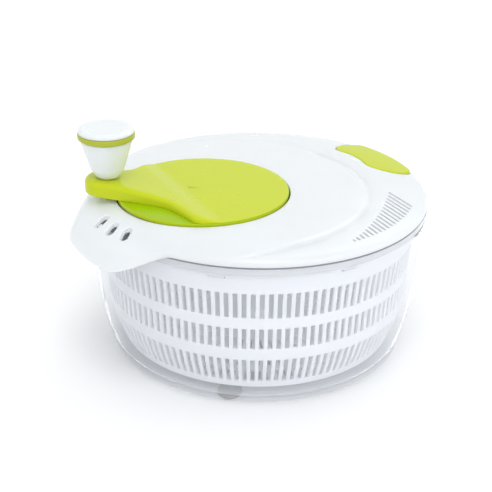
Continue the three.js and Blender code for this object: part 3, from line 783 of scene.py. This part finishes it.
def paint_rim_shadow_line():
    """A thin dark grey ring under the lid's edge: a painted shadow line between the lid and the bowl."""
    outline = filleted([(125.4, RIM_TOP + 0.1), (126.7, RIM_TOP + 0.1, 0.2), (126.85, LID_LOW - 0.45, 0.2),
                        (126.5, LID_LOW - 0.1, 0.1), (125.4, LID_LOW - 0.1)], 3)
    ring = turned("rim_shadow_ring", outline, segments=360)
    gate = prism("rim_shadow_gate", SPOUT_GATE, 105, 125)
    piece("rim_shadow_line", combine("rim_shadow_mesh", ring, [("DIFFERENCE", gate)]), RIM_SHADOW_GREY, "lid")


def spout_top(x, y):
    """Height of the lid's face over the spout."""
    heights = []
    for px, py in zip(x, y):
        line = rim_profile(math.atan2(py, px), 0)[:SPOUT_RISING]
        heights.append(np.interp(math.hypot(px, py), line[:, 0], line[:, 1]))
    return np.array(heights)


# ---------- crank ----------
SWOOSH_LOW = 129.2
SWOOSH_TOP = 129.9
NOSE_R = 17
LEAN = math.radians(25)
PIN_HOLE = 4.3


def swoosh_outline():
    """The raised swoosh from above, arm along +X: nose, front sweep over the disc, rim, back sweep."""
    around = np.radians(np.linspace(-90, 67, 60))
    nose = np.stack([KNOB_REACH + NOSE_R * np.cos(around), NOSE_R * np.sin(around)], 1)
    front = catmull([(75, 16.2), (64, 20.2), (51.6, 25.1), (37.1, 30.4), (26.2, 35.8), (19, 42.8),
                     (11.7, 52.3), (5.8, 60.2), (1.0, 62.7)], 8)[4:]
    turn = np.radians(np.linspace(91, 313, 100))
    rim_r = DISC_R - 0.25
    rim = np.stack([rim_r * np.cos(turn), rim_r * np.sin(turn)], 1)
    back = catmull([(46.2, -41.8), (49.6, -35.2), (53.2, -28), (58, -21.8), (64, -18), (70, -17.0)], 8)
    line = np.vstack([nose, front, rim, back])
    return resample(np.vstack([line, line[:1]]), 541)[:-1]


def swoosh_top(x, y):
    """Height of the swoosh: a step up from the disc, then a climb to the knob."""
    along = x * math.cos(LEAN) + y * math.sin(LEAN)
    return SWOOSH_TOP + 3.2 * smoothstep((along - 10) / 18) + 6.4 * smoothstep((along - 14) / 54)


def crank():
    """The round plate of the crank and the swoosh on it, which climbs to the knob as an arm."""
    outline = swoosh_outline()
    loops = [np.column_stack([pushed(outline, -0.3), np.full(len(outline), SWOOSH_LOW)]),
             np.column_stack([outline, np.full(len(outline), SWOOSH_LOW + 0.3)])]
    # the shoulder: a quarter of an ellipse, as wide as the last inset
    shoulder = 3.8
    for inset in (0, 0.15, 0.4, 0.8, 1.3, 1.9, 2.5, 3.1, shoulder):
        line = pushed(outline, -inset)
        top = swoosh_top(line[:, 0], line[:, 1])
        drop = 1 - math.sqrt(1 - (1 - inset / shoulder) ** 2)
        depth = np.minimum(3.6, 0.65 * (top - SWOOSH_LOW - 0.3))
        loops.append(np.column_stack([line, top - drop * depth]))
    inner = loops[-1][:, :2]
    for share in np.linspace(0.97, 0.03, 36):
        line = inner * share
        loops.append(np.column_stack([line, swoosh_top(line[:, 0], line[:, 1])]))
    c, s = math.cos(ARM_ANGLE), math.sin(ARM_ANGLE)
    placed = []
    for loop in loops:
        x, y, z = loop.T
        placed.append(np.column_stack([CRANK[0] + x * c - y * s, CRANK[1] + x * s + y * c, z]))
    plate = filleted([(0, DISC_LOW), (DISC_R, DISC_LOW, 0.4), (DISC_R, DISC_TOP, 0.5), (0, DISC_TOP)], 4)
    pin_low = 130.7
    pin = [(0, pin_low), (PIN_HOLE, pin_low), (PIN_HOLE, ABOVE), (0, ABOVE)]
    steps = [("UNION", turned("crank_plate", plate, CRANK, 360)),
             ("DIFFERENCE", turned("pin_hole", pin, KNOB, 48))]
    for i in (1, 2, 3):
        hole = [(0, 120), (1.7, 120), (1.7, 128.3), (0, 128.3)]
        steps.append(("DIFFERENCE", turned("screw_hole", hole, axis_of(f"ring_gear_screw_{i}"), 24)))
    mesh = combine("crank_mesh", grid_solid("crank_swoosh_body", placed), steps)
    piece("crank_swoosh", mesh, CRANK_LIME, "crank", ["crank_disc"], angle=40)


# ---------- knob ----------
GRIP_TOP = 168.4
BAND_LOW = 168.7
BAND_TOP = 173.2


def knob():
    """Grip, band and cap of the knob, turned about its pin."""
    low = span("knob_body")[0].z
    grip = filleted([(4.4, low), (8.6, low, 0.3), (10.2, low + 2.2, 1.5), (12.2, low + 6, 6),
                     (15.8, low + 17.5, 30), (19.0, GRIP_TOP, 0.4), (8, GRIP_TOP), (8, 160), (4.4, 160)], 8)
    band = filleted([(16, BAND_LOW), (19.4, BAND_LOW, 0.3), (20.6, BAND_LOW + 0.9, 0.8),
                     (20.6, BAND_TOP - 0.6, 0.8), (19.9, BAND_TOP, 0.3), (16, BAND_TOP)], 5)
    cap_low = BAND_TOP + GAP
    cap = filleted([(0, 168.8), (15.7, 168.8), (15.7, cap_low), (20.1, cap_low, 0.3), (20.1, 175.4, 1.5),
                    (17.5, 177.3, 1.8), (14.5, 176.9, 3), (0, 177.4)], 8)
    for name, outline, material, slot, node in (
            ("knob_grip", grip, WHITE, "white_plastic", "knob_body"),
            ("knob_band", band, SHADED_BAND_LIME, "lime_plastic", "knob_ring"),
            ("knob_top", cap, WHITE, "white_plastic", "knob_cap")):
        piece(name, turned(name + "_mesh", outline, KNOB, 128), material, "knob", [node])


# ---------- brake ----------
def brake():
    """The brake's leaf-shaped button, with a rounded upper edge and a blind hole for its stem."""
    low, high = span("brake_button")
    line = button_outline()
    loops = [np.column_stack([button_outline(-0.6), np.full(len(line), low.z)]),
             np.column_stack([line, np.full(len(line), low.z + 0.6)])]
    top = high.z
    for inset, drop in ((0, 1.6), (-0.15, 0.9), (-0.5, 0.4), (-1.0, 0.12), (-1.8, 0.0)):
        loops.append(np.column_stack([button_outline(inset), np.full(len(line), top - drop)]))
    mesh = grid_solid("brake_mesh", loops)
    recess = [(0, 110), (6.5, 110), (6.5, 121.9), (0, 121.9)]
    mesh = combine("brake_leaf_mesh", mesh, [("DIFFERENCE", turned("recess", recess, BRAKE, 48))])
    piece("brake_leaf", mesh, LIME, "brake", ["brake_button"])


def spring():
    """The brake's coil spring, which rides on the lid."""
    low, high = span("brake_spring")
    wire, turns, steps_a_turn, around = 0.45, 5, 28, 10
    coil = (high.x - low.x) / 2 - wire
    count = turns * steps_a_turn
    section = 2 * np.pi * np.arange(around) / around
    loops = []
    for k in range(count + 1):
        a = 2 * math.pi * k / steps_a_turn
        climb = 0.65 * k / count + 0.35 * float(smoothstep(k / count))
        z = low.z + wire + (high.z - low.z - 2 * wire) * climb
        out = coil + wire * np.cos(section)
        loops.append(np.column_stack([BRAKE[0] + out * math.cos(a), BRAKE[1] + out * math.sin(a),
                                      z + wire * np.sin(section)]))
    mesh = grid_solid("brake_coil_mesh", loops)
    made = piece("brake_coil", mesh, STEEL, "lid", ["brake_spring"], angle=60)
    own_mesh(made)


# ---------- the CAD nodes that stay ----------
def carried_over():
    """Gives every CAD node the material of its slot."""
    looks = {
        "nylon": NYLON, "steel": STEEL, "grey_rubber": RUBBER, "white_plastic": WHITE, "lime_plastic": LIME,
        "clear_plastic": CLEAR,
    }
    for part in frame["record"]["subparts"]:
        node = frame["nodes"][part["node"]]
        node.data.materials.clear()
        node.data.materials.append(looks[part["material_slot"]])


# ---------- stage, light and camera ----------
def stage():
    """A pale floor under a soft sky, and three large lamps."""
    size = 12.0
    corners = [(-size, -size, FLOOR_Z), (size, -size, FLOOR_Z), (size, size, FLOOR_Z), (-size, size, FLOOR_Z)]
    mesh = bpy.data.meshes.new("floor")
    mesh.from_pydata(corners, [], [(0, 1, 2, 3)])
    floor = thing("floor", mesh)
    material = bpy.data.materials.new("floor")
    material.use_nodes = True
    shader = material.node_tree.nodes["Principled BSDF"]
    shader.inputs["Base Color"].default_value = (0.97, 0.97, 0.97, 1)
    shader.inputs["Roughness"].default_value = 0.7
    mesh.materials.append(material)

    world = bpy.data.worlds.new("studio")
    bpy.context.scene.world = world
    world.use_nodes = True
    sky = world.node_tree.nodes["Background"]
    sky.inputs["Color"].default_value = (0.97, 0.985, 1.0, 1)
    sky.inputs["Strength"].default_value = 1.0

    lamps = [
        ("key", (1.3, 0.7, 1.6), 1.2, 4),
        ("front", (0.2, -2.2, 0.9), 1.8, 7),
        ("top", (-0.3, -0.5, 1.5), 0.5, 3.5),
    ]
    for name, where, size, power in lamps:
        lamp = bpy.data.lights.new(name, "AREA")
        lamp.energy = power
        lamp.size = size
        holder = bpy.data.objects.new(name, lamp)
        bpy.context.scene.collection.objects.link(holder)
        holder.location = where
        holder.rotation_euler = (-Vector(where)).to_track_quat("-Z", "Y").to_euler()


def camera():
    """A camera that stands swing degrees round from the front and looks a little past the axis."""
    swing = math.radians(-32)
    heading = math.radians(31.37)
    pitch, roll = math.radians(25.23), math.radians(0.65)
    away, height = 0.78357, 0.44124
    level = math.cos(pitch)
    forward = Vector((math.sin(heading) * level, math.cos(heading) * level, -math.sin(pitch)))
    right = Vector((math.cos(heading), -math.sin(heading), 0))
    up = right.cross(forward)
    across = right * math.cos(roll) + up * math.sin(roll)
    upright = up * math.cos(roll) - right * math.sin(roll)
    data = bpy.data.cameras.new("camera")
    data.sensor_width = 36
    data.lens = 81.83
    data.clip_end = 50
    eye = bpy.data.objects.new("camera", data)
    eye.matrix_world = Matrix((
        (across.x, upright.x, -forward.x, math.sin(swing) * away),
        (across.y, upright.y, -forward.y, -math.cos(swing) * away),
        (across.z, upright.z, -forward.z, height),
        (0, 0, 0, 1)))
    bpy.context.scene.collection.objects.link(eye)
    bpy.context.scene.camera = eye


camera()
stage()
carried_over()
bowl()
feet()
basket()
lid()
paint_rim_shadow_line()
crank()
knob()
brake()
spring()
scene = bpy.context.scene
scene.view_settings.view_transform = "Standard"
scene.cycles.max_bounces = 20
scene.cycles.diffuse_bounces = 12
scene.cycles.transmission_bounces = 16
scene.cycles.transparent_max_bounces = 24
